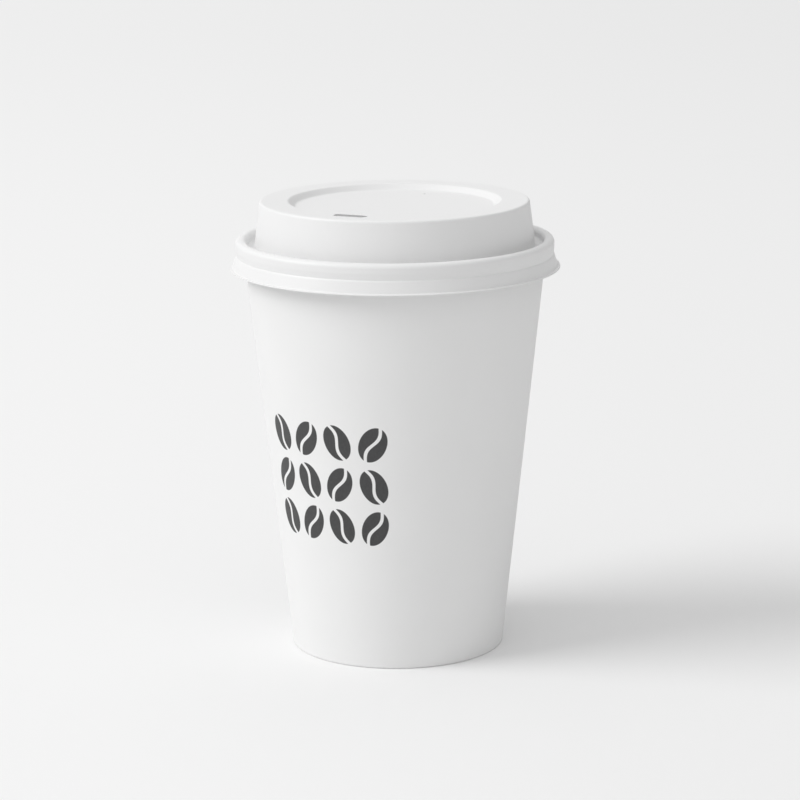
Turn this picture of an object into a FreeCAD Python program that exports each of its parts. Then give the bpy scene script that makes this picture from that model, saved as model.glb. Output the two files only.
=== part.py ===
import FreeCAD, Part
import math
import os

# A single-wall paper coffee cup closed with a moulded sipping lid, in millimetres.
# +Z is up along the cup's axis, z = 0 is the plane that the cup stands on, and -Y is the side
# that one drinks from. The wall's lapped seam is on the far side, near +Y.

# Driving dimensions of the paper wall
rim_diameter = 90.4
base_diameter = 61.4
cup_height = 119.2
board = 0.42

# The brim, curled outward and down from the upper edge of the wall
roll_width = 1.92
roll_height = 3.3
roll_top_radius = 0.92
roll_under_radius = 0.82
roll_tail = 0.9

# The foot, where the lower edge of the wall is folded in and up to just under the bottom's bend
fold_gap = 0.65
foot_corner = 0.5

# The lapped side seam: where its raised edge is, how wide the lap and the run-out beside it are,
# how far the upper ply is lifted on the wall and in the pressed brim, and how the lift starts above
# the foot and tapers off below the brim
seam_angle = 83.5
seam_lap_angle = 10.5
seam_ramp_angle = 3.0
seam_lift = 0.36
seam_lift_in_roll = 0.16
seam_start = 1.6
seam_taper = 2.4
seam_end_gap = 0.5

# The paper bottom: a disc with a flange turned down between the wall and its fold
bottom_board = 0.42
bottom_height = 7.6
bottom_bend = 0.95
flange_lift = 0.3
glue_line = 0.03

# The moulded lid
lid_sheet = 0.3
drum_rise = 10.8
drum_top_diameter = 77.1
drum_edge_radius = 0.8
channel_depth = 2.6
channel_width = 2.3
channel_radius = 0.75
crest_radius = 1.34
ring_height = 4.5
bead_height = 1.7
bead_undercut = 0.42
bead_radius = 3.0
crease_radius = 0.4
step_out = 0.4
step_drop = 0.25
step_radius = 0.5
skirt_height = 3.95
skirt_flare = 0.26
lip_width = 0.75
lip_bend = 0.5

# The sip hole, and the flat land that is left outside it at the drum's edge
sip_width = 9.8
sip_reach = 4.7
sip_corner = 2.1
lip_land = 5.35

# The panel sunk into the lid's top, a circle cut off by a chord on the drinking side, with the
# land left around it and the land left between its chord and the sip hole
panel_land = 8.15
sip_land = 4.2
panel_corner = 4.0
panel_depth = 1.6
panel_run = 2.0
panel_fillet = 1.2

# The air hole in the panel
vent_diameter = 1.0
vent_inset = 8.2

# Clearances between the lid and the cup
crest_clearance = 0.1
ring_clearance = 0.14
plug_clearance = 0.15

os.makedirs("parts", exist_ok=True)

up = FreeCAD.Vector(0, 0, 1)
origin = FreeCAD.Vector(0, 0, 0)

# The tightest bend that a sheet's inner face keeps, how far cuts run past what they cut, and how
# deep in the lower ply the lap's hidden face lies
tightest_bend = 0.02
overrun = 0.5
lap_bury = 0.5 * board
lap_start = 0.7 * board


def point(r, z):
    """A point of a half section, at radius r and height z."""
    return FreeCAD.Vector(r, 0, z)


def shifted(corners, distance):
    """A path's corners moved to the right of its direction of travel.

    Each corner is (r, z, radius). distance is one number, or one for each corner. The rounding of a
    right turn gets tighter by that distance and the rounding of a left turn gets wider.
    """
    distances = distance if isinstance(distance, list) else [distance] * len(corners)
    places = [point(r, z) for r, z, _ in corners]
    ways = [(b - a).normalize() for a, b in zip(places[:-1], places[1:])]
    moved = []
    for i, (place, d) in enumerate(zip(places, distances)):
        before = ways[max(i - 1, 0)]
        after = ways[min(i, len(ways) - 1)]
        right_before = FreeCAD.Vector(before.z, 0, -before.x)
        right_after = FreeCAD.Vector(after.z, 0, -after.x)
        mitre = (right_before + right_after) * (1.0 / (1.0 + right_before.dot(right_after)))
        turn = before.z * after.x - before.x * after.z
        radius = corners[i][2]
        if radius > 0:
            radius = max(radius - d * math.copysign(1, turn), tightest_bend)
        moved.append((place.x + mitre.x * d, place.z + mitre.z * d, radius))
    return moved


def path_edges(corners):
    """The straight runs and tangent arcs of a path with rounded corners."""
    places = [point(r, z) for r, z, _ in corners]
    edges = []
    start = places[0]
    for i in range(1, len(places) - 1):
        radius = corners[i][2]
        before = (places[i] - places[i - 1]).normalize()
        after = (places[i + 1] - places[i]).normalize()
        if radius <= 0:
            edges.append(Part.LineSegment(start, places[i]).toShape())
            start = places[i]
            continue
        half_turn = before.getAngle(after) / 2
        reach = radius * math.tan(half_turn)
        enter = places[i] - before * reach
        leave = places[i] + after * reach
        inward = (after - before).normalize()
        middle = places[i] + inward * (radius / math.cos(half_turn) - radius)
        if (enter - start).Length > 1e-6:
            edges.append(Part.LineSegment(start, enter).toShape())
        edges.append(Part.Arc(enter, middle, leave).toShape())
        start = leave
    edges.append(Part.LineSegment(start, places[-1]).toShape())
    return edges


def sheet_section(corners, near, far):
    """The half section of a sheet that lies between two distances to the right of a path."""
    near_edges = path_edges(shifted(corners, near))
    far_edges = path_edges(shifted(corners, far))
    first_ends = [near_edges[0].Vertexes[0].Point, far_edges[0].Vertexes[0].Point]
    last_ends = [near_edges[-1].Vertexes[-1].Point, far_edges[-1].Vertexes[-1].Point]
    ends = [Part.LineSegment(*first_ends).toShape(), Part.LineSegment(*last_ends).toShape()]
    return Part.Wire(Part.__sortEdges__(near_edges + far_edges + ends))


def turned(shape, angle):
    """A copy of a shape turned about the axis, counted from +X towards +Y."""
    copy = shape.copy()
    copy.rotate(origin, up, angle)
    return copy


def revolved(wire, start=0.0, sweep=360.0):
    """The solid that a half section sweeps about the axis."""
    return turned(Part.Face(wire), start).revolve(origin, up, sweep)


# The cone of the wall's coated face
base_radius = base_diameter / 2
rim_radius = rim_diameter / 2
wall_radius_at_top = rim_radius - roll_width + board
wall_slope = (wall_radius_at_top - base_radius) / cup_height
wall_lean = math.atan(wall_slope)
across = 1 / math.cos(wall_lean)


def wall_face(z, inward=0.0):
    """The radius at height z of the cone that lies a distance inside the wall's coated face."""
    return base_radius + wall_slope * z - inward * across


def blank_corners():
    """The coated face of the blank, from the fold's inner edge round the foot, up the wall, over the
    brim, round under it and up its tucked-in tail."""
    inner_ply = board + bottom_board + 2 * glue_line
    fold_height = bottom_height - bottom_bend - fold_gap
    inner_corner = foot_corner - board
    roll_bottom = cup_height - roll_height
    taper_end = roll_bottom - seam_end_gap
    tail_top = roll_bottom + roll_under_radius + roll_tail
    return [
        (wall_face(fold_height, inner_ply), fold_height, 0),
        (wall_face(board, inner_ply), board, inner_corner),
        (wall_face(board, board), board, inner_corner),
        (wall_face(seam_start, board), seam_start, 0),
        (wall_face(seam_start + seam_taper, board), seam_start + seam_taper, 0),
        (wall_face(taper_end - seam_taper, board), taper_end - seam_taper, 0),
        (wall_face(taper_end, board), taper_end, 0),
        (wall_face(cup_height, board), cup_height, roll_top_radius),
        (rim_radius, cup_height, roll_top_radius),
        (rim_radius, roll_bottom, roll_under_radius),
        (wall_face(roll_bottom, -glue_line), roll_bottom, roll_under_radius),
        (wall_face(tail_top, -glue_line), tail_top, 0),
    ]


seam_lifts = [0.0] * 4 + [seam_lift] * 2 + [seam_lift_in_roll] * 6


def blank_section(share):
    """The blank's half section where the seam lifts it by a share of the seam's full lift."""
    near = [share * lift for lift in seam_lifts]
    return sheet_section(blank_corners(), near, [lift + board for lift in near])


def lap_section():
    """The half section of the upper ply where it lies on the lower one and rises out of it."""
    far = [board + lift for lift in seam_lifts[3:]]
    far[0] = lap_start
    return sheet_section(blank_corners()[3:], lap_bury, far)


def make_cup_wall():
    """One blank: folded foot, cone with a lapped seam, and the brim rolled out of its upper edge."""
    main = revolved(blank_section(0), seam_angle, 360 - seam_ramp_angle)
    lap = revolved(lap_section(), seam_angle, seam_lap_angle)
    sections = [
        turned(blank_section(share), seam_angle - seam_ramp_angle * (1 - share)) for share in (0, 0.5, 1)
    ]
    ramp = Part.makeLoft(sections, True, False)
    return main.fuse([lap, ramp]).removeSplitter()


def make_cup_bottom():
    """A disc with its rim bent down into the flange that the fold of the wall clasps."""
    outside = board + glue_line
    flange_bottom = board + flange_lift
    corners = [
        (0, bottom_height, 0),
        (wall_face(bottom_height, outside), bottom_height, bottom_bend),
        (wall_face(flange_bottom, outside), flange_bottom, 0),
    ]
    return revolved(sheet_section(corners, 0, bottom_board))


# The lid's heights and radii, taken from the cup that it closes
crest_top = cup_height + crest_clearance + lid_sheet
lid_top = crest_top + drum_rise
channel_bottom = crest_top - channel_depth
ring_radius = rim_radius + ring_clearance + lid_sheet
plug_radius = wall_face(channel_bottom - lid_sheet, board) - plug_clearance - lid_sheet
waist_height = crest_top - ring_height
waist_radius = ring_radius - bead_undercut
lip_top = waist_height - skirt_height + lid_sheet
skirt_radius = waist_radius + step_out + skirt_flare * (waist_height - lip_top)
drum_top_radius = drum_top_diameter / 2

# The places of the holes and the panel, counted inward from the drum's edge
sip_distance = drum_top_radius - lip_land - sip_reach / 2
panel_chord = sip_distance - sip_reach / 2 - sip_land
panel_radius = drum_top_radius - panel_land
vent_distance = panel_radius - vent_inset


def lid_corners():
    """The lid's upper face from the axis out over the ring and down the skirt."""
    return [
        (0, lid_top, 0),
        (drum_top_radius, lid_top, drum_edge_radius),
        (plug_radius - channel_width, channel_bottom, channel_radius),
        (plug_radius, channel_bottom, channel_radius),
        (plug_radius, crest_top, crest_radius),
        (ring_radius, crest_top, crest_radius),
        (ring_radius, waist_height + bead_height, bead_radius),
        (waist_radius, waist_height, crease_radius),
        (waist_radius + step_out, waist_height - step_drop, step_radius),
        (skirt_radius, lip_top, 0),
    ]


def under(corners, floor, reach):
    """The solid of revolution below a path, down to a floor, with its last run led on to a reach."""
    edges = path_edges(corners)
    last = edges[-1].Vertexes[-1].Point
    outline = [last, point(reach, last.z), point(reach, floor), point(0, floor), point(0, corners[0][1])]
    edges += [
        Part.LineSegment(a, b).toShape()
        for a, b in zip(outline[:-1], outline[1:])
        if (b - a).Length > 1e-6
    ]
    return revolved(Part.Wire(edges))


def panel_outline(grow, z):
    """The sunk panel's outline at height z: an arc and a chord that meet in rounded corners."""
    radius = panel_radius + grow
    chord = panel_chord + grow
    corner = panel_corner + grow
    corner_y = -(chord - corner)
    corner_x = math.sqrt((radius - corner) ** 2 - corner_y ** 2)
    outward = radius / (radius - corner)
    bisector = math.atan2(corner_y, corner_x) / 2 - math.pi / 4
    right_arc = FreeCAD.Vector(corner_x * outward, corner_y * outward, z)
    right_middle = FreeCAD.Vector(
        corner_x + corner * math.cos(bisector), corner_y + corner * math.sin(bisector), z
    )
    right_chord = FreeCAD.Vector(corner_x, -chord, z)
    left_arc = FreeCAD.Vector(-right_arc.x, right_arc.y, z)
    left_middle = FreeCAD.Vector(-right_middle.x, right_middle.y, z)
    left_chord = FreeCAD.Vector(-corner_x, -chord, z)
    return Part.Wire([
        Part.Arc(right_arc, FreeCAD.Vector(0, radius, z), left_arc).toShape(),
        Part.Arc(left_arc, left_middle, left_chord).toShape(),
        Part.LineSegment(left_chord, right_chord).toShape(),
        Part.Arc(right_chord, right_middle, right_arc).toShape(),
    ])


def sunk(block, top, grow, top_fillet, floor_fillet):
    """A block with the panel's pocket pressed into its top, its two edge loops rounded."""
    slope = panel_run / panel_depth
    mouth = panel_outline(grow + slope * overrun, top + overrun)
    floor = panel_outline(grow - panel_run, top - panel_depth)
    pressed = block.cut(Part.makeLoft([mouth, floor], True, True))
    reach = panel_radius + grow + overrun
    for height, fillet in ((top, top_fillet), (top - panel_depth, floor_fillet)):
        loop = [
            edge for edge in pressed.Edges
            if abs(edge.BoundBox.ZMin - height) < 1e-4
            and abs(edge.BoundBox.ZMax - height) < 1e-4
            and edge.BoundBox.XMax < reach
            and edge.BoundBox.YMax < reach
        ]
        pressed = pressed.makeFillet(fillet, loop)
    return pressed


def make_sip_punch(bottom, height):
    """The drinking hole's prism: a rectangle with large rounded corners."""
    block = Part.makeBox(sip_width, sip_reach, height)
    block.translate(FreeCAD.Vector(-sip_width / 2, -sip_distance - sip_reach / 2, bottom))
    upright = [edge for edge in block.Edges if edge.BoundBox.ZLength > height / 2]
    return block.makeFillet(sip_corner, upright)


def make_lid():
    """One moulded sheet: the solid under its upper face less the solid under its lower face."""
    upper_face = lid_corners()
    lower_face = shifted(upper_face, lid_sheet)
    lip_bottom = lip_top - lid_sheet
    inner_skirt = skirt_radius - lid_sheet * math.sqrt(1 + skirt_flare ** 2)
    inner_skirt += skirt_flare * lid_sheet
    lower_face[-1] = (inner_skirt, lip_bottom, 0)
    fall = math.atan(panel_depth / panel_run)
    under_grow = lid_sheet * math.tan(fall / 2)
    lip = [(skirt_radius, lip_top, lip_bend), (skirt_radius + lip_width, lip_top, 0)]
    outside = under(upper_face[:-1] + lip, lip_bottom, skirt_radius + lip_width)
    outside = sunk(outside, lid_top, 0, panel_fillet, panel_fillet)
    inside = under(lower_face, lip_bottom, inner_skirt)
    mouth_fillet = max(panel_fillet - lid_sheet, tightest_bend)
    inside = sunk(inside, lid_top - lid_sheet, under_grow, mouth_fillet, panel_fillet + lid_sheet)
    punch_bottom = lid_top - panel_depth - lid_sheet - overrun
    punch_height = lid_top + overrun - punch_bottom
    sip_punch = make_sip_punch(punch_bottom, punch_height)
    vent_place = FreeCAD.Vector(0, vent_distance, punch_bottom)
    vent_punch = Part.makeCylinder(vent_diameter / 2, punch_height, vent_place)
    return outside.cut(inside).cut([sip_punch, vent_punch])


pieces = {
    "cup_wall": make_cup_wall(),
    "cup_bottom": make_cup_bottom(),
    "lid": make_lid(),
}

for name, shape in pieces.items():
    solid = shape.Solids[0] if len(shape.Solids) == 1 else shape
    solid.exportStep(os.path.join("parts", name + ".step"))
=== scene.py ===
"""Dresses a paper coffee cup and its moulded sipping lid, and stands them in a plain pale studio."""

import logging
import math
from collections.abc import Iterable, Sequence
from dataclasses import dataclass, field, replace
from enum import Enum

import bmesh
import bpy
from bmesh.types import BMEdge, BMesh, BMFace, BMVert
from mathutils import Matrix, Vector

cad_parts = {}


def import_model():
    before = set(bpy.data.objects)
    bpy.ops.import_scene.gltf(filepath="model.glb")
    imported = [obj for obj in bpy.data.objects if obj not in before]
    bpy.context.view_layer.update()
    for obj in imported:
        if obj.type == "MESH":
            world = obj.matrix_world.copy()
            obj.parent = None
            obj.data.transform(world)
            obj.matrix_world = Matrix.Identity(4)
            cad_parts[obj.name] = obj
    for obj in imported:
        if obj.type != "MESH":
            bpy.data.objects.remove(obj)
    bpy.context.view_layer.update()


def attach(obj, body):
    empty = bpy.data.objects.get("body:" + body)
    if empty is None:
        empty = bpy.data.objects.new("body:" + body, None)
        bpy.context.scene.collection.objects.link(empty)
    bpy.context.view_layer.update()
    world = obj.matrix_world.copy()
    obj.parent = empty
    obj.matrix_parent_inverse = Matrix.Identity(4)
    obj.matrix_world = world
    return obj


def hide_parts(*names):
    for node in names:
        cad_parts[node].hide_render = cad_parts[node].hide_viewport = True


MM = 0.001
NO_LENGTH = 1e-9
MERGE_DISTANCE = 0.0005 * MM
RIM_SEGMENTS = 2
FULL_TURN = 360.0
WHITE = (1.0, 1.0, 1.0, 1.0)
ORIGIN = Vector((0, 0, 0))
UP = Vector((0, 0, 1))

# The azimuth, in degrees from -Y, that the cup is looked at from and that the studio is set up for.
FACING = 23.0

Socket = bpy.types.NodeSocket
Number = float | Socket
Colour = tuple[float, float, float, float]

log = logging.getLogger("coffee_cup")


# Half sections of bent sheets


@dataclass(frozen=True)
class Corner:
    """A corner of a half section: its distance from the axis, its height and its bend's radius."""

    radius: float
    height: float
    bend: float = 0.0

    def place(self) -> Vector:
        """The corner as a point of the half plane."""
        return Vector((self.radius, self.height))


@dataclass(frozen=True)
class SheetPath:
    """One face of a bent sheet in half section: straight runs joined by round bends.

    Attributes:
        corners: the path's corners in the order that it runs through them.
        bend_steps: how many short chords each bend is made of.
        margin: how far beside a bend or an end the run gets a supporting point.
        margin_share: the largest share of a run that such a margin takes.
    """

    corners: tuple[Corner, ...]
    bend_steps: int = 9
    margin: float = 0.2 * MM
    margin_share: float = 0.3

    def shifted(self, distances: Sequence[float]) -> "SheetPath":
        """Moves each corner to the right of the direction of travel.

        Args:
            distances: how far each corner moves, one number per corner.

        Returns:
            The new path, whose right turns are tighter and whose left turns are wider.
        """
        places = [corner.place() for corner in self.corners]
        ways = [(b - a).normalized() for a, b in zip(places[:-1], places[1:])]
        moved = []
        for i, (corner, distance) in enumerate(zip(self.corners, distances)):
            before = ways[max(i - 1, 0)]
            after = ways[min(i, len(ways) - 1)]
            right_before = Vector((before.y, -before.x))
            right_after = Vector((after.y, -after.x))
            mitre = (right_before + right_after) / (1 + right_before.dot(right_after))
            place = places[i] + mitre * distance
            right_turn = math.copysign(1, before.y * after.x - before.x * after.y)
            bend = corner.bend - distance * right_turn if corner.bend > 0 else 0.0
            moved.append(Corner(place.x, place.y, bend))
        return SheetPath(tuple(moved), self.bend_steps, self.margin)

    def _bend(self, i: int) -> list[Vector]:
        """Rounds one corner.

        Args:
            i: the corner's number.

        Returns:
            A single point, or the chords' ends of its round bend.
        """
        corner = self.corners[i]
        place = corner.place()
        if corner.bend <= 0:
            return [place]
        before = (place - self.corners[i - 1].place()).normalized()
        after = (self.corners[i + 1].place() - place).normalized()
        turn = math.atan2(before.x * after.y - before.y * after.x, before.dot(after))
        enter = place - before * corner.bend * math.tan(abs(turn) / 2)
        left = Vector((-before.y, before.x))
        centre = enter + left * math.copysign(corner.bend, turn)
        spoke = enter - centre
        return [
            centre + Matrix.Rotation(turn * step / self.bend_steps, 2) @ spoke
            for step in range(self.bend_steps + 1)
        ]

    def points(self) -> list[Vector]:
        """Runs along the path.

        Returns:
            Its points, with a supporting point beside each bend and each end.
        """
        bends = [self._bend(i) for i in range(1, len(self.corners) - 1)]
        stretches = [[self.corners[0].place()], *bends, [self.corners[-1].place()]]
        found = list(stretches[0])
        for before, after in zip(stretches[:-1], stretches[1:]):
            run = after[0] - before[-1]
            share = min(self.margin / max(run.length, NO_LENGTH), self.margin_share)
            found.append(before[-1] + run * share)
            found.append(after[0] - run * share)
            found.extend(after)
        return found


# Modelling steps that the pieces share


def draw_arc(centre: Vector, radius: float, first: float, last: float, steps: int) -> list[Vector]:
    """Draws a level arc.

    Args:
        centre: its centre.
        radius: its radius.
        first: the angle that it starts at, in radians from +X.
        last: the angle that it ends at.
        steps: how many chords it is made of.

    Returns:
        Its points with both of its ends.
    """
    angles = [first + (last - first) * step / steps for step in range(steps + 1)]
    return [centre + radius * Vector((math.cos(angle), math.sin(angle), 0)) for angle in angles]


def draw_profile(mesh: BMesh, points: Iterable[Vector], azimuth: float) -> list[BMVert | BMEdge]:
    """Draws a half section as a chain of edges, with each point's number kept on its vertex.

    Args:
        mesh: the mesh to draw in.
        points: the section's points.
        azimuth: the angle about the axis, in degrees from +X, at which it is drawn.

    Returns:
        The new vertices and edges.
    """
    station = mesh.verts.layers.int.get("station") or mesh.verts.layers.int.new("station")
    verts = [mesh.verts.new((point.x, 0, point.y)) for point in points]
    for number, vert in enumerate(verts):
        vert[station] = number
    edges = [mesh.edges.new(pair) for pair in zip(verts[:-1], verts[1:])]
    bmesh.ops.rotate(mesh, verts=verts, cent=ORIGIN, matrix=Matrix.Rotation(math.radians(azimuth), 3, "Z"))
    return verts + edges


def spin(mesh: BMesh, profile: list[BMVert | BMEdge], sweep: float, steps: int) -> list[BMVert | BMEdge]:
    """Spins a section about the axis.

    Args:
        mesh: the mesh that holds the section.
        profile: the section's vertices and edges.
        sweep: how far it turns, in degrees; a full turn is closed.
        steps: the number of steps.

    Returns:
        The vertices and edges of the section where the spin ends.
    """
    result = bmesh.ops.spin(
        mesh,
        geom=profile,
        cent=ORIGIN,
        axis=UP,
        angle=math.radians(sweep),
        steps=steps,
        use_merge=abs(sweep) >= FULL_TURN,
    )
    return result["geom_last"]


@dataclass(frozen=True)
class Shell:
    """The three kinds of faces that a thickened sheet has."""

    front: list[BMFace]
    back: list[BMFace]
    rims: list[BMFace]


def thicken(mesh: BMesh, thickness: float) -> Shell:
    """Gives a sheet its thickness, on the side that its normals point away from.

    Args:
        mesh: a mesh that holds the sheet's front only.
        thickness: the sheet's thickness.

    Returns:
        The closed shell's faces: its front, its back and the rims that join them.
    """
    front_verts = set(mesh.verts)
    bmesh.ops.solidify(mesh, geom=mesh.faces[:], thickness=thickness)
    front, back, rims = [], [], []
    for face in mesh.faces:
        kept = sum(vert in front_verts for vert in face.verts)
        kind = back if kept == 0 else front if kept == len(face.verts) else rims
        kind.append(face)
    return Shell(front, back, rims)


def round_rims(mesh: BMesh, rims: list[BMFace], radius: float) -> None:
    """Takes the sharpness off the long edges of a sheet's rims.

    Args:
        mesh: the mesh that holds the sheet.
        rims: the rims' faces.
        radius: how far the edges are cut back.
    """
    chosen = set(rims)
    edges = [edge for face in rims for edge in face.edges if len(chosen.intersection(edge.link_faces)) == 1]
    bmesh.ops.bevel(
        mesh,
        geom=edges,
        offset=radius,
        offset_type="OFFSET",
        segments=RIM_SEGMENTS,
        profile=0.5,
        affect="EDGES",
        material=-1,
    )


def finished_piece(
    mesh: BMesh, name: str, body: str, node: str, materials: Sequence[bpy.types.Material]
) -> bpy.types.Object:
    """Turns a mesh into a smooth-shaded piece that stands for a node of the frame.

    Args:
        mesh: the finished mesh, which is freed.
        name: the piece's name.
        body: the body that it moves with.
        node: the node that it replaces.
        materials: its materials, in the order of its faces' material numbers.

    Returns:
        The new object.
    """
    mesh.normal_update()
    for face in mesh.faces:
        face.smooth = True
    data = bpy.data.meshes.new(name)
    mesh.to_mesh(data)
    mesh.free()
    for material in materials:
        data.materials.append(material)
    piece = bpy.data.objects.new(name, data)
    bpy.context.scene.collection.objects.link(piece)
    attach(piece, body)
    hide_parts(node)
    log.info("%s: %d faces", name, len(data.polygons))
    return piece


# Shader building


class NodeBench:
    """Places and links nodes in one node tree."""

    def __init__(self, tree: bpy.types.NodeTree) -> None:
        """Takes up work on a node tree."""
        self.tree = tree

    def node(self, kind: str, **settings: object) -> bpy.types.Node:
        """Adds a node.

        Args:
            kind: the node's type.
            settings: its properties by name.

        Returns:
            The new node.
        """
        made = self.tree.nodes.new(kind)
        for name, value in settings.items():
            setattr(made, name, value)
        return made

    def link(self, source: Socket, target: Socket) -> None:
        """Joins two sockets."""
        self.tree.links.new(source, target)

    def feed(self, target: Socket, value: Number | Colour) -> None:
        """Gives an input its value.

        Args:
            target: the input.
            value: a socket, which is linked to it, or a plain value.
        """
        if isinstance(value, Socket):
            self.link(value, target)
        else:
            target.default_value = value

    def maths(self, operation: str, *values: Number) -> Socket:
        """Places a Math node.

        Args:
            operation: what it works out.
            values: up to three numbers or sockets.

        Returns:
            Its result.
        """
        made = self.node("ShaderNodeMath", operation=operation)
        for socket, value in zip(made.inputs, values):
            self.feed(socket, value)
        return made.outputs[0]

    def plus(self, first: Number, second: Number) -> Socket:
        """The sum of two values."""
        return self.maths("ADD", first, second)

    def minus(self, first: Number, second: Number) -> Socket:
        """The first value less the second."""
        return self.maths("SUBTRACT", first, second)

    def times(self, first: Number, second: Number) -> Socket:
        """The product of two values."""
        return self.maths("MULTIPLY", first, second)

    def over(self, first: Number, second: Number) -> Socket:
        """The first value divided by the second."""
        return self.maths("DIVIDE", first, second)

    def squared(self, value: Number) -> Socket:
        """A value times itself."""
        return self.times(value, value)

    def at_least(self, value: Number, floor: float) -> Socket:
        """A value, or the floor where the value is lower."""
        return self.maths("MAXIMUM", value, floor)

    def ramp(self, value: Number, low: float, high: float, out_low: Number, out_high: Number) -> Socket:
        """Places a smooth step.

        Args:
            value: the value that it reads.
            low: where the step starts.
            high: where it ends.
            out_low: the result up to its start.
            out_high: the result from its end on.

        Returns:
            Its result.
        """
        made = self.node("ShaderNodeMapRange", interpolation_type="SMOOTHSTEP")
        names = ("Value", "From Min", "From Max", "To Min", "To Max")
        for name, number in zip(names, (value, low, high, out_low, out_high)):
            self.feed(made.inputs[name], number)
        return made.outputs["Result"]

    def parts(self, vector: Socket) -> bpy.types.NodeOutputs:
        """Splits a vector.

        Args:
            vector: the vector.

        Returns:
            The parts X, Y and Z.
        """
        split = self.node("ShaderNodeSeparateXYZ")
        self.link(vector, split.inputs[0])
        return split.outputs

    def turned_parts(self, azimuth: float) -> bpy.types.NodeOutputs:
        """Splits the object's coordinates, turned about Z so that X points to an azimuth.

        Args:
            azimuth: the azimuth, in degrees from +X.

        Returns:
            The parts X, Y and Z.
        """
        turned = self.node("ShaderNodeMapping")
        turned.inputs["Rotation"].default_value = (0, 0, -math.radians(azimuth))
        self.link(self.node("ShaderNodeTexCoord").outputs["Object"], turned.inputs["Vector"])
        return self.parts(turned.outputs["Vector"])

    def noise(self, vector: Socket, scale: Number, detail: float, roughness: float) -> Socket:
        """Places a noise texture.

        Args:
            vector: where it is read.
            scale: how small its forms are.
            detail: how many finer layers it has.
            roughness: how strong those are.

        Returns:
            Its value.
        """
        made = self.node("ShaderNodeTexNoise")
        self.feed(made.inputs["Vector"], vector)
        self.feed(made.inputs["Scale"], scale)
        made.inputs["Detail"].default_value = detail
        made.inputs["Roughness"].default_value = roughness
        return made.outputs["Fac"]

    def mix(self, factor: Number, first: Socket | Colour, second: Socket | Colour) -> Socket:
        """Places a mix of two colours.

        Args:
            factor: the second colour's share.
            first: the first colour.
            second: the second colour.

        Returns:
            The mixed colour.
        """
        made = self.node("ShaderNodeMix", data_type="RGBA")
        self.feed(made.inputs["Factor"], factor)
        self.feed(made.inputs["A"], first)
        self.feed(made.inputs["B"], second)
        return made.outputs["Result"]


@dataclass(frozen=True)
class SheetGrain:
    """The node group for a pressed or moulded sheet: fine grain over slow clouds.

    Its outputs are a tone from 0 to 1, a height for a bump and a change of roughness around 0.

    Attributes:
        name: the group's name.
        fine_detail: how many finer layers the grain has.
        fine_roughness: how strong those are.
        cloud_detail: how many finer layers the clouds have.
        cloud_roughness: how strong those are.
        fine_share: the grain's share of the tone.
        middle: the mean of a noise.
    """

    name: str = "sheet_grain"
    fine_detail: float = 4.0
    fine_roughness: float = 0.62
    cloud_detail: float = 2.0
    cloud_roughness: float = 0.5
    fine_share: float = 0.35
    middle: float = 0.5

    def group(self) -> bpy.types.NodeTree:
        """Builds the group, or finds it where it has been built.

        Returns:
            The group.
        """
        if self.name in bpy.data.node_groups:
            return bpy.data.node_groups[self.name]
        tree = bpy.data.node_groups.new(self.name, "ShaderNodeTree")
        for label in ("Grain Scale", "Cloud Scale", "Stretch"):
            tree.interface.new_socket(label, in_out="INPUT", socket_type="NodeSocketFloat")
        for label in ("Tone", "Height", "Roughness Change"):
            tree.interface.new_socket(label, in_out="OUTPUT", socket_type="NodeSocketFloat")
        bench = NodeBench(tree)
        inside = bench.node("NodeGroupInput")
        outside = bench.node("NodeGroupOutput")
        coordinates = bench.node("ShaderNodeTexCoord").outputs["Object"]
        stretched = bench.node("ShaderNodeCombineXYZ")
        for socket in stretched.inputs[:2]:
            socket.default_value = 1.0
        bench.link(inside.outputs["Stretch"], stretched.inputs[2])
        turned = bench.node("ShaderNodeVectorMath", operation="MULTIPLY")
        bench.link(coordinates, turned.inputs[0])
        bench.link(stretched.outputs[0], turned.inputs[1])
        fine = bench.noise(
            turned.outputs[0], inside.outputs["Grain Scale"], self.fine_detail, self.fine_roughness
        )
        clouds = bench.noise(
            coordinates, inside.outputs["Cloud Scale"], self.cloud_detail, self.cloud_roughness
        )
        tone = bench.plus(bench.times(fine, self.fine_share), bench.times(clouds, 1 - self.fine_share))
        bench.link(tone, outside.inputs["Tone"])
        bench.link(fine, outside.inputs["Height"])
        bench.link(bench.minus(clouds, self.middle), outside.inputs["Roughness Change"])
        return tree


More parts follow.
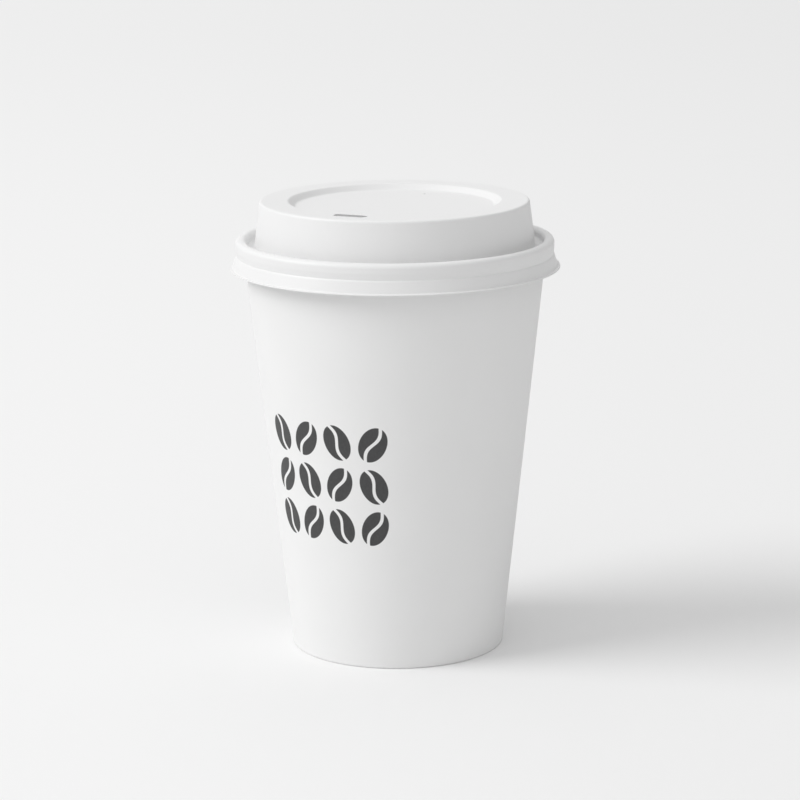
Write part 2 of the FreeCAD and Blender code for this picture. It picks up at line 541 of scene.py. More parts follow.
@dataclass(frozen=True)
class BeanPrint:
    """A printed block of coffee beans, wrapped round the wall in rows.

    Attributes:
        azimuth: where the block's middle is, in degrees from +X.
        height: the height of its middle.
        wall_radius: the wall's radius there.
        rows: the number of rows.
        columns: the number of beans in a row.
        row_pitch: the height from row to row.
        column_pitch: the width from bean to bean.
        half_length: half of a bean's length.
        half_width: half of a bean's width.
        lean: how far a bean leans to its side, in degrees.
        crease: the width of the bare line down a bean.
        sway: how far that line swings to each side.
        ink_edge: the width over which the ink's edge fades.
    """

    azimuth: float = 259.0
    height: float = 54.8 * MM
    wall_radius: float = 36.5 * MM
    rows: int = 3
    columns: int = 4
    row_pitch: float = 12.4 * MM
    column_pitch: float = 10.2 * MM
    half_length: float = 5.3 * MM
    half_width: float = 3.75 * MM
    lean: float = 24.0
    crease: float = 0.95 * MM
    sway: float = 0.8 * MM
    ink_edge: float = 0.07 * MM

    def _cell(
        self, bench: NodeBench, along: Socket, pitch: float, count: int
    ) -> tuple[Socket, Socket, Socket]:
        """Splits a coordinate into cells.

        Args:
            bench: the material's bench.
            along: the coordinate, 0 at the block's middle.
            pitch: the cells' width.
            count: how many there are.

        Returns:
            The place inside the cell from its middle, the cell's number, and 1 inside the block.
        """
        steps = bench.plus(bench.over(along, pitch), count / 2)
        number = bench.maths("FLOOR", steps)
        past_middle = bench.minus(bench.minus(steps, number), 1 / 2)
        shown = bench.maths("LESS_THAN", bench.maths("ABSOLUTE", along), count * pitch / 2)
        return bench.times(past_middle, pitch), number, shown

    def _side(self, bench: NodeBench, column: Socket, row: Socket) -> Socket:
        """Tells the beans that lean one way from those that lean the other.

        Args:
            bench: the material's bench.
            column: the bean's column.
            row: its row.

        Returns:
            1 or -1, in turn from bean to bean.
        """
        above_zero = 2 * self.rows * self.columns
        odd = bench.maths("MODULO", bench.plus(bench.plus(column, row), above_zero), 2.0)
        return bench.minus(1.0, bench.times(odd, 2.0))

    def _bean(self, bench: NodeBench, width: Socket, length: Socket) -> Socket:
        """Draws one bean with the bare line down its middle.

        Args:
            bench: the material's bench.
            width: the place across the bean.
            length: the place along it.

        Returns:
            1 on its ink and 0 beside it.
        """
        across = bench.squared(bench.over(width, self.half_width))
        along = bench.squared(bench.over(length, self.half_length))
        oval = bench.maths("SQRT", bench.plus(across, along))
        beyond = bench.times(bench.minus(oval, 1.0), self.half_width)
        body = bench.ramp(beyond, -self.ink_edge, self.ink_edge, 1.0, 0.0)
        swing = bench.maths("SINE", bench.times(length, math.pi / self.half_length))
        off_line = bench.maths("ABSOLUTE", bench.minus(width, bench.times(swing, self.sway)))
        half_crease = self.crease / 2
        ink = bench.ramp(off_line, half_crease - self.ink_edge, half_crease + self.ink_edge, 0.0, 1.0)
        return bench.times(body, ink)

    def mask(self, bench: NodeBench) -> Socket:
        """Draws the whole block.

        Args:
            bench: the material's bench.

        Returns:
            The print as a mask: 1 on ink and 0 on bare board.
        """
        place = bench.turned_parts(self.azimuth)
        across = bench.times(bench.maths("ARCTAN2", place["Y"], place["X"]), self.wall_radius)
        above = bench.minus(place["Z"], self.height)
        column_place, column, column_shown = self._cell(bench, across, self.column_pitch, self.columns)
        row_place, row, row_shown = self._cell(bench, above, self.row_pitch, self.rows)
        cosine = math.cos(math.radians(self.lean))
        sine = bench.times(self._side(bench, column, row), math.sin(math.radians(self.lean)))
        width = bench.plus(bench.times(column_place, cosine), bench.times(row_place, sine))
        length = bench.minus(bench.times(row_place, cosine), bench.times(column_place, sine))
        return bench.times(self._bean(bench, width, length), bench.times(column_shown, row_shown))


@dataclass(frozen=True)
class SheetFinish:
    """The finish of one face of a paper or plastic sheet.

    Attributes:
        name: the material's name.
        colour: its colour where the tone is lightest.
        dark_colour: its colour where the tone is darkest.
        roughness: its mean roughness.
        roughness_swing: how much the clouds change the roughness.
        grain_scale: how fine its grain is, in periods per metre.
        cloud_scale: how small its clouds are, in periods per metre.
        stretch: how much the grain is drawn out across the axis.
        bump_strength: the strength of its bump.
        bump_distance: the height of its grain.
        coat: the weight of its clear coat.
        coat_roughness: the roughness of that coat.
        painted_glow: the strength of a white glow painted on this face, standing in for the light that
            comes through the thin sheet to it.
        print_block: what is printed on it.
        ink: the ink's colour.
        ink_cover: how much of the board the ink hides.
        ink_mottle: how much of the board's colour the grain mixes into the ink.
        ink_gloss: how much smoother the ink is than the board.
    """

    name: str
    colour: Colour
    dark_colour: Colour
    roughness: float
    roughness_swing: float
    grain_scale: float
    cloud_scale: float
    stretch: float
    bump_strength: float
    bump_distance: float
    coat: float = 0.0
    coat_roughness: float = 0.3
    painted_glow: float = 0.0
    print_block: BeanPrint | None = None
    ink: Colour = (0.017, 0.017, 0.018, 1.0)
    ink_cover: float = 0.985
    ink_mottle: float = 0.04
    ink_gloss: float = 0.08

    def material(self) -> bpy.types.Material:
        """Builds the material.

        Returns:
            The new material.
        """
        material = bpy.data.materials.new(self.name)
        material.use_nodes = True
        tree = material.node_tree
        bench = NodeBench(tree)
        shader = tree.nodes["Principled BSDF"]
        grain = bench.node("ShaderNodeGroup", node_tree=SheetGrain().group())
        grain.inputs["Grain Scale"].default_value = self.grain_scale
        grain.inputs["Cloud Scale"].default_value = self.cloud_scale
        grain.inputs["Stretch"].default_value = self.stretch
        colour = bench.mix(grain.outputs["Tone"], self.dark_colour, self.colour)
        swing = bench.times(grain.outputs["Roughness Change"], self.roughness_swing)
        roughness = bench.plus(swing, self.roughness)
        if self.print_block:
            mask = self.print_block.mask(bench)
            mottle = bench.times(grain.outputs["Height"], self.ink_mottle)
            ink = bench.mix(mottle, self.ink, self.colour)
            colour = bench.mix(bench.times(mask, self.ink_cover), colour, ink)
            roughness = bench.minus(roughness, bench.times(mask, self.ink_gloss))
        bench.link(colour, shader.inputs["Base Color"])
        bench.link(roughness, shader.inputs["Roughness"])
        bump = bench.node("ShaderNodeBump")
        bump.inputs["Strength"].default_value = self.bump_strength
        bump.inputs["Distance"].default_value = self.bump_distance
        bench.link(grain.outputs["Height"], bump.inputs["Height"])
        bench.link(bump.outputs["Normal"], shader.inputs["Normal"])
        shader.inputs["Coat Weight"].default_value = self.coat
        shader.inputs["Coat Roughness"].default_value = self.coat_roughness
        shader.inputs["Emission Color"].default_value = WHITE
        # A painted glow: the face gives off white light of its own, standing in for light that comes
        # through the sheet.
        shader.inputs["Emission Strength"].default_value = self.painted_glow
        return material


PRINTED_BOARD = SheetFinish(
    name="printed_board",
    colour=(0.85, 0.85, 0.848, 1.0),
    dark_colour=(0.81, 0.81, 0.808, 1.0),
    roughness=0.56,
    roughness_swing=0.1,
    grain_scale=1800.0,
    cloud_scale=60.0,
    stretch=0.6,
    bump_strength=0.18,
    bump_distance=0.03 * MM,
    print_block=BeanPrint(),
)
COATED_BOARD = SheetFinish(
    name="coated_board",
    colour=(0.82, 0.818, 0.81, 1.0),
    dark_colour=(0.78, 0.778, 0.768, 1.0),
    roughness=0.42,
    roughness_swing=0.12,
    grain_scale=900.0,
    cloud_scale=45.0,
    stretch=0.8,
    bump_strength=0.2,
    bump_distance=0.03 * MM,
    coat=0.35,
    coat_roughness=0.22,
)
CUT_BOARD = SheetFinish(
    name="cut_board",
    colour=(0.82, 0.8, 0.765, 1.0),
    dark_colour=(0.68, 0.66, 0.62, 1.0),
    roughness=0.85,
    roughness_swing=0.1,
    grain_scale=3500.0,
    cloud_scale=300.0,
    stretch=2.0,
    bump_strength=0.5,
    bump_distance=0.05 * MM,
)
MOULDED_SHEET = SheetFinish(
    name="moulded_sheet",
    colour=(0.82, 0.82, 0.82, 1.0),
    dark_colour=(0.79, 0.79, 0.79, 1.0),
    roughness=0.46,
    roughness_swing=0.1,
    grain_scale=1400.0,
    cloud_scale=70.0,
    stretch=1.0,
    bump_strength=0.1,
    bump_distance=0.02 * MM,
)
# The lid's underside beneath the drum, with a painted glow that lightens the lid's inside and what shows
# through the sip hole.
PAINTED_GLOW_UNDERSIDE = replace(MOULDED_SHEET, name="painted_glow_underside", painted_glow=0.32)


class BoardFace(Enum):
    """The faces of the board, by the number of their material on a paper piece."""

    OUTER = 0
    COATED = 1
    CUT = 2


class SheetFace(Enum):
    """The faces of the lid's sheet, by the number of their material."""

    UPPER = 0
    UNDER = 1


# The cup


@dataclass
class PaperCup:
    """The paper cup: a blank wrapped into a cone with a lapped seam, and a bottom clasped in its foot.

    All sizes are in metres and all angles in degrees.
    """

    rim_diameter: float = 90.4 * MM
    base_diameter: float = 61.4 * MM
    height: float = 119.2 * MM
    board: float = 0.42 * MM
    roll_width: float = 1.92 * MM
    roll_height: float = 3.3 * MM
    roll_top_radius: float = 0.92 * MM
    roll_under_radius: float = 0.82 * MM
    roll_tail: float = 0.9 * MM
    fold_gap: float = 0.65 * MM
    foot_corner: float = 0.5 * MM
    seam_angle: float = 83.5
    seam_lap_angle: float = 10.5
    seam_ramp_angle: float = 3.0
    seam_lift: float = 0.42 * MM
    seam_lift_in_roll: float = 0.16 * MM
    seam_start: float = 1.6 * MM
    seam_taper: float = 2.4 * MM
    seam_end_gap: float = 0.5 * MM
    bottom_board: float = 0.42 * MM
    bottom_height: float = 7.6 * MM
    bottom_bend: float = 0.95 * MM
    flange_lift: float = 0.3 * MM
    glue_line: float = 0.03 * MM
    rim_softness: float = 0.06 * MM
    wrap_steps: int = 300
    ramp_steps: int = 8
    lap_steps: int = 9
    materials: list[bpy.types.Material] = field(default_factory=list)

    def wall_face(self, height: float, inward: float = 0.0) -> float:
        """Finds a cone that lies inside the wall's outer face.

        Args:
            height: the height that is asked for.
            inward: how far inside the outer face the cone lies.

        Returns:
            Its radius at that height.
        """
        base = self.base_diameter / 2
        top = self.rim_diameter / 2 - self.roll_width + self.board
        slope = (top - base) / self.height
        return base + slope * height - inward * math.sqrt(1 + slope**2)

    def coated_face(self, share: float) -> SheetPath:
        """The blank's coated face, from the fold round the foot, up the wall and over the brim.

        Args:
            share: how much of the seam's lift it has, from 0 to 1.

        Returns:
            The face's path.
        """
        inner_ply = self.board + self.bottom_board + 2 * self.glue_line
        fold_height = self.bottom_height - self.bottom_bend - self.fold_gap
        inner_corner = self.foot_corner - self.board
        roll_bottom = self.height - self.roll_height
        taper_end = roll_bottom - self.seam_end_gap
        tail_top = roll_bottom + self.roll_under_radius + self.roll_tail
        rim = self.rim_diameter / 2
        lifted_heights = (self.seam_start + self.seam_taper, taper_end - self.seam_taper)
        foot = (
            Corner(self.wall_face(fold_height, inner_ply), fold_height),
            Corner(self.wall_face(self.board, inner_ply), self.board, inner_corner),
            Corner(self.wall_face(self.board, self.board), self.board, inner_corner),
            Corner(self.wall_face(self.seam_start, self.board), self.seam_start),
        )
        middle = tuple(Corner(self.wall_face(height, self.board), height) for height in lifted_heights)
        roll = (
            Corner(self.wall_face(taper_end, self.board), taper_end),
            Corner(self.wall_face(self.height, self.board), self.height, self.roll_top_radius),
            Corner(rim, self.height, self.roll_top_radius),
            Corner(rim, roll_bottom, self.roll_under_radius),
            Corner(self.wall_face(roll_bottom, -self.glue_line), roll_bottom, self.roll_under_radius),
            Corner(self.wall_face(tail_top, -self.glue_line), tail_top),
        )
        lifts = [0.0] * len(foot) + [self.seam_lift] * len(middle) + [self.seam_lift_in_roll] * len(roll)
        return SheetPath(foot + middle + roll).shifted([share * lift for lift in lifts])

    def _lift_seam(self, verts: Iterable[BMVert], station: bmesh.types.BMLayerItem) -> None:
        """Raises the blank's end on to its start, over the ramp beside the seam.

        Args:
            verts: the vertices of the ramp and the lap.
            station: the layer that keeps each vertex's place on the half section.
        """
        plain = self.coated_face(0).points()
        lifted = self.coated_face(1).points()
        for vert in verts:
            angle = math.atan2(vert.co.y, vert.co.x)
            past = (math.degrees(angle) - self.seam_angle) / self.seam_ramp_angle + 1
            linear = min(max(past, 0.0), 1.0)
            # The ramp is level at its foot and at its top.
            share = linear * linear * (3 - 2 * linear)
            place = plain[vert[station]].lerp(lifted[vert[station]], share)
            vert.co = (place.x * math.cos(angle), place.x * math.sin(angle), place.y)

    def _face_board(self, shell: Shell) -> None:
        """Numbers a paper shell's faces for its materials.

        Args:
            shell: the shell, whose front is its coated side.
        """
        sides = (
            (shell.front, BoardFace.COATED),
            (shell.back, BoardFace.OUTER),
            (shell.rims, BoardFace.CUT),
        )
        for faces, kind in sides:
            for face in faces:
                face.material_index = kind.value

    def build_wall(self) -> bpy.types.Object:
        """Wraps the blank once round, up its ramp and over its own start, and thickens it.

        Returns:
            The wall.
        """
        mesh = bmesh.new()
        profile = draw_profile(mesh, self.coated_face(0).points(), self.seam_angle)
        profile = spin(mesh, profile, FULL_TURN - self.seam_ramp_angle, self.wrap_steps)
        wrapped = set(mesh.verts)
        profile = spin(mesh, profile, self.seam_ramp_angle, self.ramp_steps)
        spin(mesh, profile, self.seam_lap_angle, self.lap_steps)
        raised = [vert for vert in mesh.verts if vert not in wrapped]
        self._lift_seam(raised, mesh.verts.layers.int["station"])
        mesh.normal_update()
        shell = thicken(mesh, self.board)
        self._face_board(shell)
        round_rims(mesh, shell.rims, self.rim_softness)
        return finished_piece(mesh, "paper_wall", "cup", "cup_wall", self.materials)

    def build_bottom(self) -> bpy.types.Object:
        """Spins the bottom disc with its flange turned down between the wall and the fold.

        Returns:
            The bottom.
        """
        outside = self.board + self.glue_line
        flange_bottom = self.board + self.flange_lift
        ring = self.wall_face(self.bottom_height, outside)
        path = SheetPath(
            (
                Corner(0, self.bottom_height),
                Corner(ring / 2, self.bottom_height),
                Corner(ring, self.bottom_height, self.bottom_bend),
                Corner(self.wall_face(flange_bottom, outside), flange_bottom),
            )
        )
        mesh = bmesh.new()
        spin(mesh, draw_profile(mesh, path.points(), 0), FULL_TURN, self.wrap_steps)
        bmesh.ops.remove_doubles(mesh, verts=mesh.verts[:], dist=MERGE_DISTANCE)
        bmesh.ops.dissolve_degenerate(mesh, edges=mesh.edges[:], dist=MERGE_DISTANCE)
        mesh.normal_update()
        shell = thicken(mesh, self.bottom_board)
        self._face_board(shell)
        return finished_piece(mesh, "paper_bottom", "cup", "cup_bottom", self.materials)

    def build(self) -> None:
        """Builds and dresses both paper pieces."""
        self.materials = [finish.material() for finish in (PRINTED_BOARD, COATED_BOARD, CUT_BOARD)]
        self.build_wall()
        self.build_bottom()


# The lid


@dataclass
class MouldedLid:
    """The lid: one thin moulded sheet with a drum, a channel, a ring over the brim and a skirt.

    All sizes are in metres.
    """

    cup: PaperCup
    sheet: float = 0.3 * MM
    drum_rise: float = 10.8 * MM
    drum_top_diameter: float = 77.1 * MM
    drum_edge_radius: float = 0.8 * MM
    drum_edge_land: float = 0.96 * MM
    channel_depth: float = 2.6 * MM
    channel_width: float = 2.3 * MM
    channel_radius: float = 0.75 * MM
    crest_radius: float = 1.34 * MM
    ring_height: float = 4.5 * MM
    bead_height: float = 1.7 * MM
    bead_undercut: float = 0.22 * MM
    bead_radius: float = 3.0 * MM
    crease_radius: float = 0.35 * MM
    step_out: float = 0.25 * MM
    step_drop: float = 0.4 * MM
    step_radius: float = 0.8 * MM
    skirt_height: float = 3.95 * MM
    skirt_flare: float = 0.2521
    lip_width: float = 0.75 * MM
    lip_bend: float = 0.5 * MM
    sip_width: float = 9.8 * MM
    sip_reach: float = 3.5 * MM
    sip_corner: float = 1.6 * MM
    lip_land: float = 5.75 * MM
    panel_land: float = 8.15 * MM
    sip_land: float = 5.0 * MM
    panel_corner: float = 4.0 * MM
    panel_depth: float = 1.6 * MM
    panel_run: float = 2.0 * MM
    panel_fillet: float = 1.2 * MM
    vent_diameter: float = 1.0 * MM
    vent_inset: float = 8.2 * MM
    crest_clearance: float = 0.1 * MM
    ring_clearance: float = 0.14 * MM
    plug_clearance: float = 0.15 * MM
    rim_softness: float = 0.08 * MM
    land_margin: float = 0.2 * MM
    pick_distance: float = 0.01 * MM
    turn_steps: int = 288
    sip_corner_steps: int = 9
    vent_steps: int = 24
    panel_bend_steps: int = 6
    panel_arc_steps: int = 180
    panel_corner_steps: int = 12
    panel_chord_steps: int = 24

    def __post_init__(self) -> None:
        """Works out the heights and radii that follow from the cup."""
        cup = self.cup
        self.crest_top = cup.height + self.crest_clearance + self.sheet
        self.top = self.crest_top + self.drum_rise
        self.drum_top_radius = self.drum_top_diameter / 2
        self.sip_distance = self.drum_top_radius - self.lip_land - self.sip_reach / 2
        self.panel_chord = self.sip_distance - self.sip_reach / 2 - self.sip_land
        self.panel_radius = self.drum_top_radius - self.panel_land

    def upper_face(self) -> SheetPath:
        """Draws the lid's upper face in half section.

        Returns:
            Its path from the drum's flat land out over the ring and down the skirt.
        """
        cup = self.cup
        channel_bottom = self.crest_top - self.channel_depth
        ring_radius = cup.rim_diameter / 2 + self.ring_clearance + self.sheet
        inside_wall = cup.wall_face(channel_bottom - self.sheet, cup.board)
        plug_radius = inside_wall - self.plug_clearance - self.sheet
        waist_height = self.crest_top - self.ring_height
        waist_radius = ring_radius - self.bead_undercut
        lip_top = waist_height - self.skirt_height + self.sheet
        skirt_radius = waist_radius + self.step_out + self.skirt_flare * (waist_height - lip_top)
        return SheetPath(
            (
                Corner(self.drum_top_radius - self.drum_edge_land, self.top),
                Corner(self.drum_top_radius, self.top, self.drum_edge_radius),
                Corner(plug_radius - self.channel_width, channel_bottom, self.channel_radius),
                Corner(plug_radius, channel_bottom, self.channel_radius),
                Corner(plug_radius, self.crest_top, self.crest_radius),
                Corner(ring_radius, self.crest_top, self.crest_radius),
                Corner(ring_radius, waist_height + self.bead_height, self.bead_radius),
                Corner(waist_radius, waist_height, self.crease_radius),
                Corner(waist_radius + self.step_out, waist_height - self.step_drop, self.step_radius),
                Corner(skirt_radius, lip_top, self.lip_bend),
                Corner(skirt_radius + self.lip_width, lip_top),
            )
        )

    def panel_outline(self, grow: float) -> list[Vector]:
        """Draws the sunk panel's outline: most of a circle, cut off by a chord on the drinking side.

        Args:
            grow: how far outside the panel's own edge the outline lies.

        Returns:
            Its points on the lid's top, counterclockwise.
        """
        radius = self.panel_radius + grow
        corner = self.panel_corner + grow
        corner_y = corner - self.panel_chord - grow
        corner_x = math.sqrt((radius - corner) ** 2 - corner_y**2)
        start = math.atan2(corner_y, corner_x)
        down = 3 * math.pi / 2
        around = draw_arc(Vector((0, 0, self.top)), radius, start, math.pi - start, self.panel_arc_steps)
        left_centre = Vector((-corner_x, corner_y, self.top))
        left = draw_arc(left_centre, corner, math.pi - start, down, self.panel_corner_steps)
        right_centre = Vector((corner_x, corner_y, self.top))
        right = draw_arc(right_centre, corner, down, 2 * math.pi + start, self.panel_corner_steps)
        shares = [step / self.panel_chord_steps for step in range(1, self.panel_chord_steps)]
        chord = [left[-1].lerp(right[0], share) for share in shares]
        return around + left[1:] + chord + right[:-1]

    def _panel_steps(self) -> list[Vector]:
        """Draws the pressed panel's side in section.

        Returns:
            Its points: how far inward and how far down each of them lies.
        """
        fall = math.atan2(self.panel_depth, self.panel_run)
        reach = self.panel_fillet * math.tan(fall / 2)
        corners = (
            Corner(-reach - self.land_margin, 0),
            Corner(0, 0, self.panel_fillet),
            Corner(self.panel_run, -self.panel_depth, self.panel_fillet),
            Corner(self.panel_run + reach + self.land_margin, -self.panel_depth),
        )
        return SheetPath(corners, bend_steps=self.panel_bend_steps).points()

    def _press_panel(self, mesh: BMesh) -> tuple[list[BMEdge], list[BMEdge]]:
        """Presses the panel step by step out of a face drawn on its outline.

        Args:
            mesh: the lid's mesh.

        Returns:
            The edges round the panel's mouth and those round its floor.
        """
        steps = self._panel_steps()
        face = mesh.faces.new([mesh.verts.new(point) for point in self.panel_outline(-steps[0].x)])
        mouth = list(face.edges)
        for before, after in zip(steps[:-1], steps[1:]):
            run = after - before
            if run.length < NO_LENGTH:
                continue
            bmesh.ops.inset_region(
                mesh, faces=[face], thickness=run.x, depth=run.y, use_even_offset=True, use_boundary=True
            )
        floor = list(face.edges)
        bmesh.ops.delete(mesh, geom=[face], context="FACES_ONLY")
        return mouth, floor

    def _sip_edges(self, mesh: BMesh) -> list[BMEdge]:
        """Draws the sip hole's outline on the lid's top.

        Args:
            mesh: the lid's mesh.

        Returns:
            The outline's edges.
        """
        # The grid is one metre wide until it is scaled.
        grid = bmesh.ops.create_grid(mesh, x_segments=1, y_segments=1, size=1 / 2)
        verts = grid["verts"]
        bmesh.ops.scale(mesh, verts=verts, vec=(self.sip_width, self.sip_reach, 1))
        bmesh.ops.translate(mesh, verts=verts, vec=(0, -self.sip_distance, self.top))
        bmesh.ops.bevel(
            mesh,
            geom=verts,
            offset=self.sip_corner,
            offset_type="OFFSET",
            segments=self.sip_corner_steps,
            profile=0.5,
            affect="VERTICES",
            material=-1,
        )
        middle = Vector((0, -self.sip_distance, self.top))
        face = min(mesh.faces, key=lambda candidate: (candidate.calc_center_bounds() - middle).length)
        edges = list(face.edges)
        bmesh.ops.delete(mesh, geom=[face], context="FACES_ONLY")
        return edges

    def _vent_edges(self, mesh: BMesh) -> list[BMEdge]:
        """Draws the vent's outline on the panel's floor.

        Args:
            mesh: the lid's mesh.

        Returns:
            The outline's edges.
        """
        circle = bmesh.ops.create_circle(mesh, segments=self.vent_steps, radius=self.vent_diameter / 2)
        verts = circle["verts"]
        place = (0, self.panel_radius - self.vent_inset, self.top - self.panel_depth)
        bmesh.ops.translate(mesh, verts=verts, vec=place)
        return list({edge for vert in verts for edge in vert.link_edges})

    def _drum_edges(self, mesh: BMesh, radius: float) -> list[BMEdge]:
        """Finds the open edges on the lid's top where the spun part begins.

        Args:
            mesh: the lid's mesh.
            radius: the radius that they lie on.

        Returns:
            The edges.
        """
        reach = radius + self.pick_distance
        return [
            edge
            for edge in mesh.edges
            if edge.is_boundary and all(vert.co.xy.length < reach for vert in edge.verts)
        ]

    def _fill_flat(self, mesh: BMesh, edges: Sequence[BMEdge]) -> None:
        """Fills the flat sheet between outlines, with a narrow margin along each of them.

        Args:
            mesh: the lid's mesh.
            edges: the outlines' edges.
        """
        filled = bmesh.ops.triangle_fill(mesh, use_beauty=True, edges=edges, normal=UP)
        faces = [item for item in filled["geom"] if isinstance(item, BMFace)]
        bmesh.ops.inset_region(
            mesh, faces=faces, thickness=self.land_margin / 2, use_even_offset=True, use_boundary=True
        )

    def build(self) -> bpy.types.Object:
        """Builds the lid as one sheet and dresses it.

        Returns:
            The lid.
        """
        mesh = bmesh.new()
        path = self.upper_face()
        spin(mesh, draw_profile(mesh, path.points(), 0), FULL_TURN, self.turn_steps)
        bmesh.ops.remove_doubles(mesh, verts=mesh.verts[:], dist=MERGE_DISTANCE)
        flat_radius = path.corners[0].radius
        drum_edge = self._drum_edges(mesh, flat_radius)
        mouth, floor = self._press_panel(mesh)
        self._fill_flat(mesh, drum_edge + mouth + self._sip_edges(mesh))
        self._fill_flat(mesh, floor + self._vent_edges(mesh))
        bmesh.ops.remove_doubles(mesh, verts=mesh.verts[:], dist=MERGE_DISTANCE)
        bmesh.ops.recalc_face_normals(mesh, faces=mesh.faces[:])
        highest = max(mesh.faces, key=lambda face: face.calc_center_median().z)
        if highest.normal.z < 0:
            bmesh.ops.reverse_faces(mesh, faces=mesh.faces[:])
        shell = thicken(mesh, self.sheet)
        # The underside beneath the drum gets the material with the painted glow.
        for face in shell.back:
            if face.calc_center_median().xy.length < flat_radius:
                face.material_index = SheetFace.UNDER.value
        round_rims(mesh, shell.rims, self.rim_softness)
        materials = [MOULDED_SHEET.material(), PAINTED_GLOW_UNDERSIDE.material()]
        return finished_piece(mesh, "moulded_lid", "lid", "lid", materials)


# The studio


@dataclass(frozen=True)
class Viewpoint:
    """The camera's place: it stands off from the axis at an azimuth and looks down a little.

    Attributes:
        azimuth: where it stands, in degrees from -Y.
        distance: how far it stands from the axis, in metres.
        height: how high it stands.
        sideways: how far it is moved to its right.
        pitch: how far it looks down, in degrees.
        roll: how far the picture is turned, in degrees.
        lens: its focal length, in millimetres.
        sensor: its picture's width on the sensor, in millimetres.
        near: where its view starts, in metres.
        far: where its view ends.
    """

    azimuth: float = FACING
    distance: float = 0.84853
    height: float = 0.26258
    sideways: float = 0.00111
    pitch: float = 12.68
    roll: float = 0.44
    lens: float = 135.06
    sensor: float = 36.0
    near: float = 0.01
    far: float = 30.0

    def build(self) -> None:
        """Makes the scene's camera."""
        data = bpy.data.cameras.new("camera")
        data.lens = self.lens
        data.sensor_width = self.sensor
        data.clip_start = self.near
        data.clip_end = self.far
        camera = bpy.data.objects.new("camera", data)
        bpy.context.scene.collection.objects.link(camera)
        azimuth = math.radians(self.azimuth)
        right = Vector((math.cos(azimuth), math.sin(azimuth), 0))
        ahead = Vector((-math.sin(azimuth), math.cos(azimuth), 0))
        place = right * self.sideways - ahead * self.distance + UP * self.height
        turn = Matrix.Rotation(azimuth, 4, "Z") @ Matrix.Rotation(math.radians(90 - self.pitch), 4, "X")
        turn = turn @ Matrix.Rotation(math.radians(-self.roll), 4, "Z")
        camera.matrix_world = Matrix.Translation(place) @ turn
        bpy.context.scene.camera = camera
        log.info("camera: %.0f mm lens, %.2f m away", self.lens, self.distance)


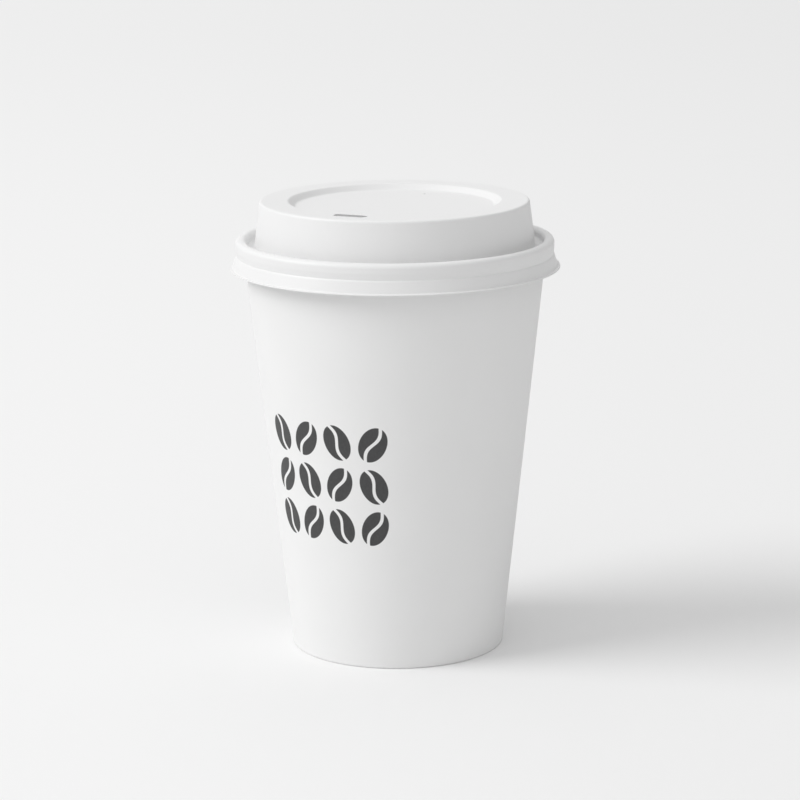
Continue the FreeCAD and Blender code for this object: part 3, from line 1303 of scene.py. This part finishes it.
@dataclass(frozen=True)
class PaleStudio:
    """A pale floor that runs out of sight, with painted light and shade across it, one broad soft lamp from
    the left and a pale surround.

    Attributes:
        facing: the azimuth that it is set up for, in degrees from -Y.
        floor_half_side: half of the floor's side, in metres.
        floor_cells: how many cells the floor has along a side.
        floor_roughness: the floor's roughness.
        lit_left_tone: the floor's tone at the left, painted lighter on the lamp's side.
        shaded_right_tone: its tone at the right, painted darker as shade.
        fan_depth: how far in front of the cup the change from left to right fans out from.
        fan_reach: how far it reaches to each side, as a share of the depth from there.
        least_depth: the smallest depth that this share is taken of.
        far_shade_share: the share of its tone that is left far behind the cup, where it is painted darker
            as shade.
        far_start: how far behind the cup the floor starts to lose its tone.
        far_end: where it stops.
        low_sky: the surround's strength at the horizon.
        sky_rise: how much stronger it is overhead.
        front_sky: how much stronger it is at the front.
        backdrop: its strength where it is seen.
        mirrored: its strength where it is mirrored.
        mirrored_right: its strength where it is mirrored from the right.
        mirrored_end: how far to the right that strength is reached, as a sine.
        lamp_strength: the lamp's strength.
        lamp_width: the angle that the lamp fills, in degrees.
        lamp_elevation: how high it stands, in degrees.
        lamp_azimuth: its azimuth, in degrees from +X.
    """

    facing: float = FACING
    floor_half_side: float = 6.0
    floor_cells: int = 8
    floor_roughness: float = 0.9
    lit_left_tone: float = 0.89
    shaded_right_tone: float = 0.84
    fan_depth: float = 0.85
    fan_reach: float = 0.16
    least_depth: float = 0.2
    far_shade_share: float = 0.95
    far_start: float = 0.1
    far_end: float = 2.0
    low_sky: float = 0.30
    sky_rise: float = 0.76
    front_sky: float = 0.20
    backdrop: float = 0.82
    mirrored: float = 0.92
    mirrored_right: float = 0.05
    mirrored_end: float = 0.9
    lamp_strength: float = 1.52
    lamp_width: float = 35.0
    lamp_elevation: float = 37.0
    lamp_azimuth: float = 216.0

    def _floor_material(self) -> bpy.types.Material:
        """Paints light and shade on the floor: lighter at the left, on the lamp's side, and darker to the
        right and far behind the cup.

        Returns:
            The floor's material.
        """
        material = bpy.data.materials.new("studio_floor")
        material.use_nodes = True
        bench = NodeBench(material.node_tree)
        shader = material.node_tree.nodes["Principled BSDF"]
        shader.inputs["Roughness"].default_value = self.floor_roughness
        shader.inputs["Specular IOR Level"].default_value = 0.0
        # Painted light and shade: the floor is lighter at the left and darker at the right.
        place = bench.turned_parts(self.facing)
        depth = bench.at_least(bench.plus(place["Y"], self.fan_depth), self.least_depth)
        aside = bench.over(place["X"], depth)
        tone = bench.ramp(aside, -self.fan_reach, self.fan_reach, self.lit_left_tone, self.shaded_right_tone)
        # Painted shade: the floor darkens far behind the cup.
        painted_far_shade = bench.ramp(place["Y"], self.far_start, self.far_end, 1.0, self.far_shade_share)
        tone = bench.times(tone, painted_far_shade)
        grey = bench.node("ShaderNodeCombineColor")
        for socket in grey.inputs[:3]:
            bench.link(tone, socket)
        bench.link(grey.outputs[0], shader.inputs["Base Color"])
        return material

    def build_floor(self) -> None:
        """Lays the floor."""
        mesh = bmesh.new()
        cells = self.floor_cells
        bmesh.ops.create_grid(mesh, x_segments=cells, y_segments=cells, size=self.floor_half_side)
        data = bpy.data.meshes.new("studio_floor")
        mesh.to_mesh(data)
        mesh.free()
        floor = bpy.data.objects.new("studio_floor", data)
        bpy.context.scene.collection.objects.link(floor)
        data.materials.append(self._floor_material())
        log.info("studio_floor: %.0f m wide", 2 * self.floor_half_side)

    def build_lamp(self) -> None:
        """Hangs the lamp."""
        data = bpy.data.lights.new("broad_lamp", "SUN")
        data.energy = self.lamp_strength
        data.angle = math.radians(self.lamp_width)
        lamp = bpy.data.objects.new("broad_lamp", data)
        bpy.context.scene.collection.objects.link(lamp)
        lift = Matrix.Rotation(math.radians(90 - self.lamp_elevation), 4, "Y")
        lamp.matrix_world = Matrix.Rotation(math.radians(self.lamp_azimuth), 4, "Z") @ lift
        log.info("broad_lamp: %.0f degrees up", self.lamp_elevation)

    def _sky(self, bench: NodeBench) -> tuple[Socket, Socket]:
        """Works out how strong the surround is in each direction.

        Args:
            bench: the world's bench.

        Returns:
            Its strength as a light, and as it is mirrored.
        """
        way = bench.parts(bench.node("ShaderNodeTexCoord").outputs["Generated"])
        facing = math.radians(self.facing)
        cosine = math.cos(facing)
        sine = math.sin(facing)
        right = bench.plus(bench.times(way["X"], cosine), bench.times(way["Y"], sine))
        front = bench.minus(bench.times(way["X"], sine), bench.times(way["Y"], cosine))
        rise = bench.squared(bench.at_least(way["Z"], 0.0))
        sky = bench.plus(bench.times(rise, self.sky_rise), self.low_sky)
        sky = bench.plus(bench.times(bench.at_least(front, 0.0), self.front_sky), sky)
        mirrored = bench.ramp(right, 0.0, self.mirrored_end, self.mirrored, self.mirrored_right)
        return sky, mirrored

    def build_surround(self) -> None:
        """Sets the surround."""
        world = bpy.data.worlds.new("pale_surround")
        bpy.context.scene.world = world
        world.use_nodes = True
        background = world.node_tree.nodes["Background"]
        background.inputs["Color"].default_value = WHITE
        bench = NodeBench(world.node_tree)
        sky, mirrored = self._sky(bench)
        path = bench.node("ShaderNodeLightPath").outputs
        seen = bench.maths("MAXIMUM", path["Is Camera Ray"], path["Is Transmission Ray"])
        strength = bench.ramp(path["Is Glossy Ray"], 0.0, 1.0, sky, mirrored)
        strength = bench.ramp(seen, 0.0, 1.0, strength, self.backdrop)
        bench.link(strength, background.inputs["Strength"])

    def build(self) -> None:
        """Builds the floor, the lamp and the surround, and sets the view transform."""
        self.build_floor()
        self.build_lamp()
        self.build_surround()
        bpy.context.scene.view_settings.view_transform = "Standard"


def main() -> None:
    """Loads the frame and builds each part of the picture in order."""
    logging.basicConfig(level=logging.INFO, format="%(message)s")
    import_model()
    cup = PaperCup()
    cup.build()
    MouldedLid(cup).build()
    PaleStudio().build()
    Viewpoint().build()


if __name__ == "__main__":
    main()
